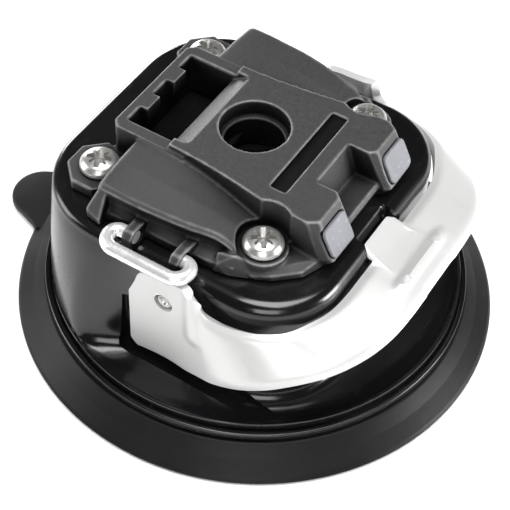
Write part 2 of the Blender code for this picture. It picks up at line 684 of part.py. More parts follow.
def make_screw(name, x, y, parts, cutters):
    """Pan-head screw with a cross recess."""
    shank, head = SCREW_SHANK / MM, SCREW_HEAD / MM
    under = EAR_TOP / MM + 0.25
    profile = [(0, under + 2.0), (1.9, under + 1.9), (2.9, under + 1.5), (head, under + 0.8),
               (head, under), (shank, under), (shank, 23.0), (0.9, 22.2), (0, 22.2)]
    screw = turned(name, profile, parts, SMALL_STEPS)
    screw.location = (x, y, 0)
    top = (under + 3.0) * MM
    floor = (under + 0.9) * MM
    arm, half = 2.0 * MM, 0.45 * MM
    for i, (wide, deep) in enumerate(((arm, half), (half, arm))):
        recess = box(f"{name}_recess_{i}", (x - wide, y - deep, floor), (x + wide, y + deep, top),
                     cutters)
        cut(screw, recess)
    return screw


def make_insert(name, x, y, parts):
    bore = (SCREW_SHANK + GAP) / MM
    profile = [(2.6, 30.7), (2.6, 28.4), (2.3, 28.1), (2.3, 27.3), (2.6, 27.0), (2.6, 24.5),
               (bore, 24.5), (bore, 30.7)]
    insert = turned(name, profile, parts, SMALL_STEPS, closed=True)
    insert.location = (x, y, 0)
    return insert


# ---------------------------------------------------------------- lanyard ring

def make_lanyard_ring(parts, swing):
    """Bent wire ring, open at the back, its ends turned in along the swing axis."""
    reach = 4.1
    left, right, bend = -12.1, 3.4, 1.6
    route = [(-7.9, 0.0), (left + bend, 0.0)]
    route += [(left + bend + bend * math.cos(math.radians(a)),
               -bend + bend * math.sin(math.radians(a))) for a in range(105, 181, 15)]
    low = 2.5
    route += [(left + low + low * math.cos(math.radians(a)),
               -reach + low + low * math.sin(math.radians(a))) for a in range(195, 271, 15)]
    route += [(right - low + low * math.cos(math.radians(a)),
               -reach + low + low * math.sin(math.radians(a))) for a in range(270, 346, 15)]
    route += [(right - bend + bend * math.cos(math.radians(a)),
               -bend + bend * math.sin(math.radians(a))) for a in range(0, 91, 15)]
    route += [(-0.1, 0.0)]
    curve = bpy.data.curves.new("lanyard_ring", "CURVE")
    curve.dimensions = "3D"
    curve.bevel_depth = RING_WIRE
    curve.bevel_resolution = 3
    curve.use_fill_caps = True
    spline = curve.splines.new("POLY")
    spline.points.add(len(route) - 1)
    for point, (x, y) in zip(spline.points, route):
        point.co = (x * MM, y * MM, 0.0, 1.0)
    wire = add_object("lanyard_ring_path", curve, parts)
    wire.matrix_world = Matrix.Translation((0, RING_AXIS_Y, RING_AXIS_Z))
    ring = frozen(wire, "lanyard_ring", parts)
    ring.parent = swing
    ring.matrix_world = Matrix.Translation((0, RING_AXIS_Y, RING_AXIS_Z))
    return ring


# ---------------------------------------------------------------- assembly

def empty_at(name, place, collection):
    made = bpy.data.objects.new(name, None)
    made.location = place
    collection.objects.link(made)
    return made


def build():
    clear_scene()
    parts = make_collection("suction_lever_base")
    cutters = make_collection("cutters")
    materials = {name: make_material(name) for name in FINISHES}
    pivot = empty_at("lever_axis", (0, 0, PIN_HEIGHT), parts)
    swing = empty_at("ring_axis", (0, RING_AXIS_Y, RING_AXIS_Z), parts)
    bpy.context.view_layer.update()

    finish(make_suction_cup(parts, cutters), materials["rubber"], 40)
    finish(make_core_disc(parts), materials["spring_steel"], 40)
    finish(make_lift_post(parts, cutters), materials["spring_steel"], 40)
    finish(make_return_spring(parts), materials["spring_steel"], 40)
    finish(make_spring_seat(parts), materials["spring_steel"], 40)
    finish(make_guide_bush(parts, cutters), materials["nylon"], 40)
    finish(make_base_ring(parts), materials["gloss_black"], 40)
    finish(make_housing(parts, cutters), materials["gloss_black"], 35)
    finish(make_lever(parts, cutters, pivot), materials["sheet_steel"], 35)
    finish(make_pivot_pin(parts, pivot), materials["bright_steel"], 40)
    for label, side in (("left", -1), ("right", 1)):
        finish(make_pin_washer(f"pin_washer_{label}", side, parts), materials["nylon"], 40)
    finish(make_mount_plate(parts, cutters), materials["matte_grey"])
    for label, side in (("left", -1), ("right", 1)):
        pad = pad_block(f"grip_pad_{label}", side, 0.0, -0.2 * MM, 0.45 * MM, parts)
        finish(pad, materials["pad_grey"])
    for name, x, y in screw_places():
        finish(make_screw(f"plate_screw_{name}", x, y, parts, cutters),
               materials["bright_steel"], 40)
        finish(make_insert(f"screw_insert_{name}", x, y, parts), materials["brass"], 40)
    finish(make_lanyard_ring(parts, swing), materials["bright_steel"], 40)


build()
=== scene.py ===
"""Looks for the lever suction base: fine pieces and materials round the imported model."""

import math

import bmesh
import bpy
import numpy as np
from mathutils import Matrix, Vector


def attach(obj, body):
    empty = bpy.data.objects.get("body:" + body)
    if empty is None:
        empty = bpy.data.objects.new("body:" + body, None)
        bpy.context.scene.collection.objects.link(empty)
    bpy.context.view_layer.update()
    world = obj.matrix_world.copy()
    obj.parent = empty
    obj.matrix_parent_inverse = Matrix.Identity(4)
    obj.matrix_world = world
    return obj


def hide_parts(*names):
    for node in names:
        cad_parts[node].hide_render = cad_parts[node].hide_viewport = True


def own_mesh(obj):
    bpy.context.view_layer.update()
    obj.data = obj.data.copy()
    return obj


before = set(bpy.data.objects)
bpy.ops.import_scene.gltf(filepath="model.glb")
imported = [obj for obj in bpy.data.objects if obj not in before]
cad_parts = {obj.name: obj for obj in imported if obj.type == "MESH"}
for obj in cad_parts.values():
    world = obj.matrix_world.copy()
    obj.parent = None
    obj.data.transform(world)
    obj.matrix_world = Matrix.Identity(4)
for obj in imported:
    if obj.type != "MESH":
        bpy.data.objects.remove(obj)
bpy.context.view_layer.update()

MM = 0.001

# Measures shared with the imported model, in millimetres
DECK = 31.0
TOWER_BACK, TOWER_FRONT, TOWER_SIDE = -32.0, 24.2, 27.6
FRONT_CORNER, BACK_CORNER = 13.5, 16.0
FOOT = 37.4
WALL = 2.6
PIN_Z = 25.6
PIN_RADIUS = 1.5
PLATE_BOTTOM = 31.3
BLOCK_TOP = 40.6
POCKET_TOP = 39.6
EAR_TOP = 33.6
EAR_PLANE = 29.25
SHEET = 1.5
POCKET_BACK, POCKET_FRONT, POCKET_SIDE = -20.9, -12.1, 9.6
TOOTH_BOTTOM, TOOTH_SIDE = 36.4, 1.9
WINDOW_X, WINDOW_RADIUS, WINDOW_STEP_RADIUS = -1.68, 6.04, 5.2
LABEL_BACK, LABEL_FRONT, LABEL_SIDE = 7.54, 10.5, 10.12
REAR_SCREW = (-21.95, 16.56)
FRONT_SCREW = (10.86, 17.17)
RING_Y, RING_Z, RING_WIRE = -26.0, 33.1, 1.2
TAB_ANGLE, TAB_DISTANCE, TAB_RADIUS = 186.1, 46.0, 5.95
STEM_DROP = 3.0
SLOT_GAP = 0.39

# Measures of the fine pieces alone, in millimetres; KNEE is a share of the lever sheet's width
FRONT_SEAT = 34.6
KNEE = 0.25
INLAY_TOP = 40.2
SKIN_VOXEL = 0.24
EDGE_HEIGHT = 0.03

# Camera: degrees round, up and of roll; what it faces in millimetres; metres away; lens in millimetres
CAMERA_ANGLES = (29.77, 49.5, 3.0)
CAMERA_TARGET = (2.51, -5.03, 15.0)
CAMERA_DISTANCE = 0.26629
SENSOR = 36.0
LENS = 105.882


# ------------------------------------------------------------------ mesh helpers

def link(name, mesh):
    """A new object in the scene for the mesh or camera data."""
    made = bpy.data.objects.new(name, mesh)
    bpy.context.scene.collection.objects.link(made)
    return made


def from_faces(name, verts, faces):
    """A mesh object from points in millimetres, normals out, kept in millimetres."""
    mesh = bpy.data.meshes.new(name)
    mesh.from_pydata(verts, [], faces)
    work = bmesh.new()
    work.from_mesh(mesh)
    bmesh.ops.remove_doubles(work, verts=work.verts, dist=1e-5)
    bmesh.ops.triangulate(work, faces=work.faces)
    bmesh.ops.recalc_face_normals(work, faces=work.faces)
    work.to_mesh(mesh)
    work.free()
    return link(name, mesh)


def settle(piece):
    """Applies the piece's modifiers to its mesh."""
    bpy.context.view_layer.update()
    graph = bpy.context.evaluated_depsgraph_get()
    mesh = bpy.data.meshes.new_from_object(piece.evaluated_get(graph))
    piece.modifiers.clear()
    piece.data = mesh
    return piece


def combine(piece, others, operation):
    """Boolean of the piece with the others, which are used up."""
    for other in others:
        modifier = piece.modifiers.new(operation, "BOOLEAN")
        modifier.operation = operation
        modifier.object = other
        modifier.solver = "EXACT"
    settle(piece)
    for other in others:
        bpy.data.objects.remove(other, do_unlink=True)
    return piece


def cut(piece, *others):
    return combine(piece, others, "DIFFERENCE")


def join(piece, *others):
    return combine(piece, others, "UNION")


def finish(piece, material, body, nodes=(), smooth=35.0):
    """To metres, smooth shading with crisp edges, material, body and CAD nodes."""
    piece.data.transform(Matrix.Scale(MM, 4))
    piece.data.shade_smooth()
    piece.data.set_sharp_from_angle(angle=math.radians(smooth))
    piece.data.materials.clear()
    piece.data.materials.append(material)
    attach(piece, body)
    if nodes:
        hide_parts(*nodes)
    return piece


def rounded(points, radius, steps=4, closed=False):
    """The polyline with its corners eased; a point may carry its own radius as a third number."""
    out = []
    count = len(points)
    for i, point in enumerate(points):
        here = Vector(point[:2])
        ease = point[2] if len(point) > 2 else radius
        if ease <= 0 or (not closed and i in (0, count - 1)):
            out.append(tuple(here))
            continue
        before = Vector(points[i - 1][:2]) - here
        after = Vector(points[(i + 1) % count][:2]) - here
        room = 0.48 * min(before.length, after.length)
        reach = min(ease / max(math.tan(before.angle(after) / 2), 1e-3), room)
        a = here + before.normalized() * reach
        b = here + after.normalized() * reach
        for k in range(steps + 1):
            t = k / steps
            out.append(tuple(a * (1 - t) ** 2 + here * 2 * t * (1 - t) + b * t * t))
    return out


def spline(points, steps):
    """Catmull-Rom through points of any dimension, ends included."""
    out = []
    last = len(points) - 1
    for i in range(last):
        p0, p1 = points[max(i - 1, 0)], points[i]
        p2, p3 = points[i + 1], points[min(i + 2, last)]
        for k in range(steps):
            t = k / steps
            row = []
            for a, b, c, d in zip(p0, p1, p2, p3):
                row.append(0.5 * (2 * b + (c - a) * t + (2 * a - 5 * b + 4 * c - d) * t * t
                                  + (3 * b - a - 3 * c + d) * t ** 3))
            out.append(tuple(row))
    out.append(tuple(points[-1]))
    return out


def smooth_step(low, high, value):
    """0 below low, 1 above high, eased between; low may be the larger."""
    t = min(max((value - low) / (high - low), 0.0), 1.0)
    return t * t * (3 - 2 * t)


def arc(centre, radius, start, end, count):
    """Points along a circle, angles in degrees, both ends included."""
    angles = [math.radians(start + (end - start) * i / count) for i in range(count + 1)]
    return [(centre[0] + radius * math.cos(a), centre[1] + radius * math.sin(a)) for a in angles]


def bridge(rows, closed_rows=True, caps=True):
    """Faces between rows of equal length, numbered in order."""
    width = len(rows[0])
    verts = [v for row in rows for v in row]
    faces = []
    span = width if closed_rows else width - 1
    for r in range(len(rows) - 1):
        for i in range(span):
            j = (i + 1) % width
            faces.append((r * width + i, r * width + j, (r + 1) * width + j,
                          (r + 1) * width + i))
    if caps:
        faces.append(tuple(range(width)))
        faces.append(tuple(range(len(verts) - width, len(verts))))
    return verts, faces


def revolve(name, profile, steps=192, closed=False):
    """A (radius, height) profile turned about Z."""
    rings = []
    verts = []
    for r, z in profile:
        start = len(verts)
        if r < 1e-6:
            verts.append((0.0, 0.0, z))
            rings.append([start] * steps)
            continue
        rings.append(list(range(start, start + steps)))
        for i in range(steps):
            a = 2 * math.pi * i / steps
            verts.append((r * math.cos(a), r * math.sin(a), z))
    if closed:
        rings.append(rings[0])
    faces = []
    for here, there in zip(rings, rings[1:]):
        for i in range(steps):
            j = (i + 1) % steps
            quad = []
            for v in (here[i], here[j], there[j], there[i]):
                if v not in quad:
                    quad.append(v)
            faces.append(tuple(quad))
    return from_faces(name, verts, faces)


def slab(name, outline, bottom, top, ease, steps=4):
    """A flat piece with eased upper and lower edges, from an anticlockwise outline."""
    count = len(outline)
    inward = []
    for i, here in enumerate(outline):
        before = (Vector(here) - Vector(outline[i - 1])).normalized()
        after = (Vector(outline[(i + 1) % count]) - Vector(here)).normalized()
        mitre = Vector((-before.y - after.y, before.x + after.x))
        inward.append(mitre / max(mitre.length_squared / 2, 0.5))
    rows = []
    levels = []
    for k in range(steps + 1):
        t = math.pi / 2 * k / steps
        levels.append((ease * (1 - math.sin(t)), bottom + ease * (1 - math.cos(t))))
    levels += [(inset, top - (z - bottom)) for inset, z in reversed(levels)]
    for inset, z in levels:
        rows.append([(p[0] + n.x * inset, p[1] + n.y * inset, z)
                     for p, n in zip(outline, inward)])
    return from_faces(name, *bridge(rows))


def prism(name, outline, bottom, top):
    """An upright block with the outline's section."""
    rows = [[(x, y, z) for x, y in outline] for z in (bottom, top)]
    return from_faces(name, *bridge(rows))


def box(name, low, high):
    (x0, y0, z0), (x1, y1, z1) = low, high
    return prism(name, [(x0, y0), (x1, y0), (x1, y1), (x0, y1)], z0, z1)


def column(name, x, y, bottom, top, radius, steps=64):
    """An upright cylinder."""
    return prism(name, arc((x, y), radius, 0, 360 * (steps - 1) / steps, steps - 1), bottom, top)


def faceted(name, points):
    """The convex block round corner points in millimetres."""
    mesh = bpy.data.meshes.new(name)
    work = bmesh.new()
    for p in points:
        work.verts.new(p)
    hull = bmesh.ops.convex_hull(work, input=work.verts)
    spare = [v for v in hull["geom_interior"] if isinstance(v, bmesh.types.BMVert)]
    bmesh.ops.delete(work, geom=spare, context="VERTS")
    bmesh.ops.recalc_face_normals(work, faces=work.faces)
    work.to_mesh(mesh)
    work.free()
    return link(name, mesh)


def sided(points, side):
    """The points as given for side 1, mirrored in the XZ plane for side -1."""
    return points if side > 0 else [(x, -y, z) for x, y, z in points]


def mark_edges(piece, height):
    """Stores as "edge" how far each point stands proud of the points round it, 0 to 1."""
    mesh = piece.data
    count = len(mesh.vertices)
    places = np.empty(count * 3)
    mesh.vertices.foreach_get("co", places)
    places = places.reshape(count, 3)
    normals = np.empty(count * 3)
    mesh.vertices.foreach_get("normal", normals)
    pairs = np.empty(len(mesh.edges) * 2, dtype=np.int64)
    mesh.edges.foreach_get("vertices", pairs)
    first, second = pairs[0::2], pairs[1::2]
    around = np.bincount(first, minlength=count) + np.bincount(second, minlength=count)

    def average(values):
        total = np.bincount(first, values[second], count) + np.bincount(second, values[first], count)
        return total / np.maximum(around, 1)

    middle = np.stack([average(places[:, k]) for k in range(3)], axis=1)
    proud = ((places - middle) * normals.reshape(count, 3)).sum(axis=1)
    for _ in range(2):
        proud = 0.5 * proud + 0.5 * average(proud)
    stored = mesh.attributes.new("edge", "FLOAT", "POINT")
    stored.data.foreach_set("value", np.clip(proud / height, 0.0, 1.0))


def screw_places():
    """Name and place of each plate screw."""
    for end, (x, y) in (("rear", REAR_SCREW), ("front", FRONT_SCREW)):
        yield f"{end}_left", x, -y
        yield f"{end}_right", x, y


# ------------------------------------------------------------------ materials

class Nodes:
    """Short calls for building a material's nodes; plain numbers stay on the sockets."""

    def __init__(self, name, colour, roughness, metallic=0.0, **sockets):
        self.material = bpy.data.materials.new(name)
        self.material.use_nodes = True
        self.tree = self.material.node_tree
        self.shader = self.tree.nodes["Principled BSDF"]
        self.shader.inputs["Base Color"].default_value = (*colour, 1.0)
        self.shader.inputs["Roughness"].default_value = roughness
        self.shader.inputs["Metallic"].default_value = metallic
        for socket, value in sockets.items():
            self.shader.inputs[socket.replace("_", " ")].default_value = value
        self.place = self.tree.nodes.new("ShaderNodeTexCoord").outputs["Object"]

    def wire(self, value, socket):
        if hasattr(value, "links"):
            self.tree.links.new(value, socket)
        else:
            socket.default_value = value

    def stretch(self, scale, turn=(0, 0, 0)):
        node = self.tree.nodes.new("ShaderNodeMapping")
        node.inputs["Scale"].default_value = scale
        node.inputs["Rotation"].default_value = turn
        self.tree.links.new(self.place, node.inputs["Vector"])
        return node.outputs["Vector"]

    def noise(self, scale, detail=4.0, roughness=0.55, place=None):
        node = self.tree.nodes.new("ShaderNodeTexNoise")
        node.inputs["Scale"].default_value = scale
        node.inputs["Detail"].default_value = detail
        node.inputs["Roughness"].default_value = roughness
        self.tree.links.new(place or self.place, node.inputs["Vector"])
        return node.outputs["Fac"]

    def cells(self, scale):
        """Distance to the nearest point of a scatter, for small pits."""
        node = self.tree.nodes.new("ShaderNodeTexVoronoi")
        node.inputs["Scale"].default_value = scale
        self.tree.links.new(self.place, node.inputs["Vector"])
        return node.outputs["Distance"]

    def remap(self, value, low, high, new_low, new_high):
        node = self.tree.nodes.new("ShaderNodeMapRange")
        self.wire(value, node.inputs["Value"])
        for name, number in (("From Min", low), ("From Max", high), ("To Min", new_low),
                             ("To Max", new_high)):
            node.inputs[name].default_value = number
        return node.outputs["Result"]

    def math(self, operation, a, b):
        node = self.tree.nodes.new("ShaderNodeMath")
        node.operation = operation
        self.wire(a, node.inputs[0])
        self.wire(b, node.inputs[1])
        return node.outputs["Value"]

    def mix(self, share, first, second):
        node = self.tree.nodes.new("ShaderNodeMix")
        node.data_type = "RGBA"
        self.wire(share, node.inputs["Factor"])
        for value, socket in ((first, node.inputs["A"]), (second, node.inputs["B"])):
            self.wire(value if hasattr(value, "links") else (*value, 1.0),
                      next(s for s in node.inputs if s.name == socket.name and s.type == "RGBA"))
        return next(s for s in node.outputs if s.type == "RGBA")

    def edges(self, low, high):
        """How much of a catching edge a point is, 0 to 1, as mark_edges stored it."""
        node = self.tree.nodes.new("ShaderNodeAttribute")
        node.attribute_name = "edge"
        return self.remap(node.outputs["Fac"], low, high, 0.0, 1.0)

    def occlusion_shade(self, reach, low, high):
        """1 deep in hollows, 0 in the open, for painting shade there; reach in millimetres."""
        node = self.tree.nodes.new("ShaderNodeAmbientOcclusion")
        node.inputs["Distance"].default_value = reach * MM
        return self.remap(node.outputs["AO"], low, high, 1.0, 0.0)

    def colour(self, value):
        self.tree.links.new(value, self.shader.inputs["Base Color"])

    def roughness(self, value):
        self.tree.links.new(value, self.shader.inputs["Roughness"])

    def specular(self, value):
        self.tree.links.new(value, self.shader.inputs["Specular IOR Level"])

    def bump(self, *layers):
        """layers are (height output, depth in millimetres)."""
        normal = None
        for height, depth in layers:
            node = self.tree.nodes.new("ShaderNodeBump")
            node.inputs["Distance"].default_value = depth * MM
            self.tree.links.new(height, node.inputs["Height"])
            if normal:
                self.tree.links.new(normal, node.inputs["Normal"])
            normal = node.outputs["Normal"]
        self.tree.links.new(normal, self.shader.inputs["Normal"])


def rubber():
    m = Nodes("rubber", (0.004, 0.004, 0.0045), 0.42, Specular_IOR_Level=0.18)
    cloud = m.noise(90, 5)
    grain = m.noise(2600, 3)
    dust = m.remap(m.noise(420, 6, 0.7), 0.56, 0.72, 0.0, 0.35)
    m.colour(m.mix(dust, m.mix(cloud, (0.003, 0.003, 0.0035), (0.006, 0.006, 0.0065)),
                   (0.018, 0.018, 0.018)))
    m.roughness(m.remap(m.math("ADD", cloud, m.math("MULTIPLY", grain, 0.5)), 0.3, 1.1, 0.36, 0.52))
    m.bump((grain, 0.012), (m.noise(500, 3), 0.02))
    return m.material


def gloss_black():
    m = Nodes("gloss_black", (0.004, 0.004, 0.0045), 0.16)
    cloud = m.noise(70, 4)
    scuffs = m.noise(1.0, 5, 0.6, m.stretch((900, 140, 900), (0.3, 0.2, 0.7)))
    speck = m.remap(m.noise(1500, 2, 0.5), 0.68, 0.76, 0.0, 0.6)
    m.colour(m.mix(speck, m.mix(cloud, (0.003, 0.003, 0.0035), (0.006, 0.006, 0.0065)),
                   (0.016, 0.016, 0.016)))
    rough = m.math("ADD", m.remap(cloud, 0.3, 0.7, 0.15, 0.22),
                   m.remap(scuffs, 0.55, 0.75, 0.0, 0.12))
    m.roughness(rough)
    m.bump((m.noise(260, 3), 0.004), (scuffs, 0.0012))
    return m.material


def matte_grey():
    m = Nodes("matte_grey", (0.025, 0.025, 0.026), 0.5, Specular_IOR_Level=0.42)
    cloud = m.noise(55, 4)
    grain = m.noise(2300, 4, 0.65)
    pits = m.cells(1700)
    # Convex edges mixed towards light grey, varied by noise: a painted edge highlight.
    painted_edge_highlight = m.math("MULTIPLY", m.edges(0.12, 0.8), m.remap(m.noise(700, 4), 0.3, 0.7, 0.5, 1.0))
    # Hollows such as the pocket and window darken towards near black: painted shade.
    painted_shade = m.occlusion_shade(13.0, 0.4, 0.95)
    body = m.mix(cloud, (0.019, 0.019, 0.020), (0.028, 0.028, 0.029))
    fine = m.mix(m.remap(grain, 0.35, 0.7, 0.0, 0.6), body, (0.042, 0.042, 0.043))
    m.colour(m.mix(painted_shade, m.mix(painted_edge_highlight, fine, (0.22, 0.22, 0.22)), (0.004, 0.004, 0.004)))
    m.roughness(m.remap(grain, 0.3, 0.7, 0.44, 0.60))
    # The specular level drops in the hollows as well, as part of the painted shade.
    m.specular(m.remap(painted_shade, 0.2, 0.9, 0.42, 0.04))
    m.bump((grain, 0.018), (pits, 0.008))
    return m.material


def label_black():
    m = Nodes("label_black", (0.002, 0.002, 0.002), 0.5, Specular_IOR_Level=0.12)
    grain = m.noise(3000, 3)
    m.colour(m.mix(grain, (0.001, 0.001, 0.001), (0.003, 0.003, 0.003)))
    m.roughness(m.remap(m.noise(300, 4), 0.3, 0.7, 0.5, 0.65))
    m.bump((grain, 0.006))
    return m.material


def pad_grey():
    # Light bluish grey: the pads' own tone, lightened by a painted highlight for the light their faces
    # catch.
    m = Nodes("pad_grey", (0.145, 0.148, 0.163), 0.55)
    cloud = m.noise(220, 5)
    grain = m.noise(3200, 3, 0.6)
    speck = m.remap(m.noise(1100, 3), 0.60, 0.74, 0.0, 0.5)
    m.colour(m.mix(speck, m.mix(cloud, (0.12, 0.123, 0.136), (0.17, 0.173, 0.188)),
                   (0.34, 0.34, 0.355)))
    m.roughness(m.remap(grain, 0.3, 0.7, 0.48, 0.66))
    m.bump((grain, 0.02), (m.cells(1400), 0.012))
    return m.material


def sheet_steel():
    m = Nodes("sheet_steel", (0.57, 0.57, 0.566), 0.3, 0.3)
    brushed = m.noise(1.0, 6, 0.7, m.stretch((2600, 180, 2600)))
    cloud = m.noise(60, 5)
    stain = m.remap(m.noise(240, 6, 0.65), 0.58, 0.75, 0.0, 0.3)
    m.colour(m.mix(stain, m.mix(cloud, (0.55, 0.55, 0.545), (0.60, 0.60, 0.595)),
                   (0.48, 0.48, 0.475)))
    m.roughness(m.remap(m.math("ADD", m.math("MULTIPLY", brushed, 0.6), cloud), 0.4, 1.2,
                        0.28, 0.42))
    m.bump((brushed, 0.003), (m.noise(420, 2), 0.004))
    return m.material


def bright_steel():
    m = Nodes("bright_steel", (0.48, 0.475, 0.46), 0.3, 0.8)
    cloud = m.noise(400, 5)
    scratch = m.noise(1.0, 5, 0.7, m.stretch((5200, 900, 5200), (0.4, 0.1, 0.9)))
    tarnish = m.remap(m.noise(1300, 4, 0.65), 0.57, 0.72, 0.0, 0.45)
    m.colour(m.mix(tarnish, m.mix(cloud, (0.42, 0.415, 0.40), (0.54, 0.535, 0.52)),
                   (0.34, 0.33, 0.31)))
    m.roughness(m.remap(scratch, 0.3, 0.75, 0.26, 0.4))
    m.bump((scratch, 0.002), (m.noise(900, 3), 0.004))
    return m.material


def chrome():
    m = Nodes("chrome", (0.90, 0.90, 0.895), 0.28, 0.65)
    cloud = m.noise(300, 4)
    m.colour(m.mix(cloud, (0.86, 0.86, 0.855), (0.92, 0.92, 0.915)))
    m.roughness(m.remap(cloud, 0.3, 0.75, 0.22, 0.34))
    m.bump((m.noise(900, 2), 0.002))
    return m.material


def plain_metal(name, dark, light, rough):
    m = Nodes(name, light, rough, 1.0)
    turning = m.noise(1.0, 5, 0.7, m.stretch((300, 300, 6000)))
    m.colour(m.mix(m.noise(500, 5), dark, light))
    m.roughness(m.remap(turning, 0.3, 0.7, rough * 0.7, rough * 1.4))
    m.bump((turning, 0.004))
    return m.material


def nylon():
    m = Nodes("nylon", (0.75, 0.74, 0.69), 0.45, Subsurface_Weight=0.1)
    m.shader.inputs["Subsurface Scale"].default_value = 0.4 * MM
    cloud = m.noise(350, 4)
    m.colour(m.mix(cloud, (0.70, 0.69, 0.63), (0.80, 0.79, 0.75)))
    m.roughness(m.remap(cloud, 0.3, 0.7, 0.38, 0.55))
    m.bump((m.noise(1800, 3), 0.008))
    return m.material


def floor_white():
    m = Nodes("floor_white", (0.93, 0.93, 0.93), 0.7)
    paper = m.noise(12, 4)
    m.colour(m.mix(paper, (0.92, 0.92, 0.92), (0.94, 0.94, 0.94)))
    m.bump((m.noise(900, 3), 0.01))
    return m.material


RUBBER = rubber()
GLOSS = gloss_black()
MATTE = matte_grey()
LABEL = label_black()
PAD_PAINTED_HIGHLIGHT = pad_grey()
STEEL = sheet_steel()
BRIGHT = bright_steel()
CHROME = chrome()
SPRING = plain_metal("spring_steel", (0.42, 0.42, 0.42), (0.62, 0.62, 0.61), 0.26)
POST = plain_metal("dark_steel", (0.07, 0.07, 0.075), (0.14, 0.14, 0.145), 0.42)
BRASS = plain_metal("brass", (0.58, 0.42, 0.16), (0.80, 0.62, 0.30), 0.32)
NYLON = nylon()


# ------------------------------------------------------------------ suction cup and base ring

def make_cup():
    """The rubber cup, thin at the lip, with its pull tab."""
    under = [(0, 4.1, 0), (10, 4.0, 3), (20, 3.4, 3), (30, 2.5, 3), (38, 0.8, 1.0), (40.5, 0.0, 0.5),
             (43.2, 0.0, 0.25), (43.75, 0.2, 0.25), (44.0, 0.7, 0.3), (43.5, 1.3, 0.4)]
    skirt = [(41.0, 3.1, 3.0), (38.8, 5.0, 0.6), (30, 5.1, 1.0),
             (20, 6.0, 2.0), (14.4, 7.6, 0.6), (13.6, 9.8, 0.4), (12.6, 10.4, 0.4),
             (5.4, 10.4, 0.2), (5.4, 9.2, 0), (8.3, 9.2, 0), (8.3, 7.6, 0), (11.3, 7.6, 0),
             (11.3, 4.5, 0), (0, 4.5, 0)]
    cup = revolve("cup", rounded(under + skirt, 0.2), 224)
    middle = math.radians(TAB_ANGLE)
    centre = (TAB_DISTANCE * math.cos(middle), TAB_DISTANCE * math.sin(middle))
    outline = arc(centre, TAB_RADIUS, TAB_ANGLE - 72, TAB_ANGLE + 72, 40)
    for distance, turn in ((44.6, 9.6), (43.4, 11.2), (40.4, 9), (40.4, 3), (40.4, -3),
                           (40.4, -9), (43.4, -11.2), (44.6, -9.6)):
        a = math.radians(TAB_ANGLE + turn)
        outline.append((distance * math.cos(a), distance * math.sin(a)))
    join(cup, slab("tab", outline, 0.5, 2.3, 0.6, 5))
    cup = finish(cup, RUBBER, "base", ["suction_cup"])
    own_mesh(cup)


def make_base_ring():
    """The ring with a raised lip between the cup and the housing."""
    profile = [(31, 5.4, 0.1), (38.3, 5.4, 0.3), (38.6, 5.9, 0.3), (38.6, 7.1, 0.3), (37.7, 7.1, 0.15),
               (37.7, 6.0, 0.1), (31, 6.0, 0.1)]
    ring = revolve("ring_profile", rounded(profile, 0.2, 4, True), 224, closed=True)
    finish(ring, GLOSS, "base", ["base_ring"])
    ring.name = "base_ring_fine"


# ------------------------------------------------------------------ housing

def tower_point(angle, inset):
    """Where a ray from the axis meets the tower's rounded outline."""
    low_x, high_x, half_y = TOWER_BACK + inset, TOWER_FRONT - inset, TOWER_SIDE - inset
    c, s = math.cos(angle), math.sin(angle)
    corner = (FRONT_CORNER if c > 0 else BACK_CORNER) - inset
    reach = min((high_x / c) if c > 1e-9 else (low_x / c) if c < -1e-9 else 1e9,
                (half_y / abs(s)) if abs(s) > 1e-9 else 1e9)
    x, y = reach * c, reach * s
    centre_x = high_x - corner if x > 0 else low_x + corner
    centre_y = math.copysign(half_y - corner, y)
    if abs(x) > abs(centre_x) and abs(y) > abs(centre_y):
        along = centre_x * c + centre_y * s
        off = centre_x ** 2 + centre_y ** 2 - corner ** 2
        reach = along + math.sqrt(max(along * along - off, 0.0))
        x, y = reach * c, reach * s
    return x, y


def housing_shell(name, lever_side, back_side, foot, steps):
    """Loft of (inset, share of the way to the foot, height) rows; the two sides blend."""
    rows = []
    for open_row, back_row in zip(lever_side, back_side):
        row = []
        for i in range(steps):
            angle = 2 * math.pi * (i + 0.5) / steps - math.pi
            wall = smooth_step(math.radians(102), math.radians(121), abs(angle))
            inset, share, height = (a + (b - a) * wall for a, b in zip(open_row, back_row))
            x, y = tower_point(angle, inset)
            x += (foot * math.cos(angle) - x) * share
            y += (foot * math.sin(angle) - y) * share
            row.append((x, y, height))
        rows.append(row)
    return from_faces(name, *bridge(rows))


def bullnose(radius, share, steps=8):
    """Rows for housing_shell: the quarter round at the deck's edge."""
    rows = []
    for k in range(steps + 1):
        t = math.pi / 2 * k / steps
        rows.append((radius * (1 - math.sin(t)), share * k / steps, DECK - radius * (1 - math.cos(t))))
    return rows


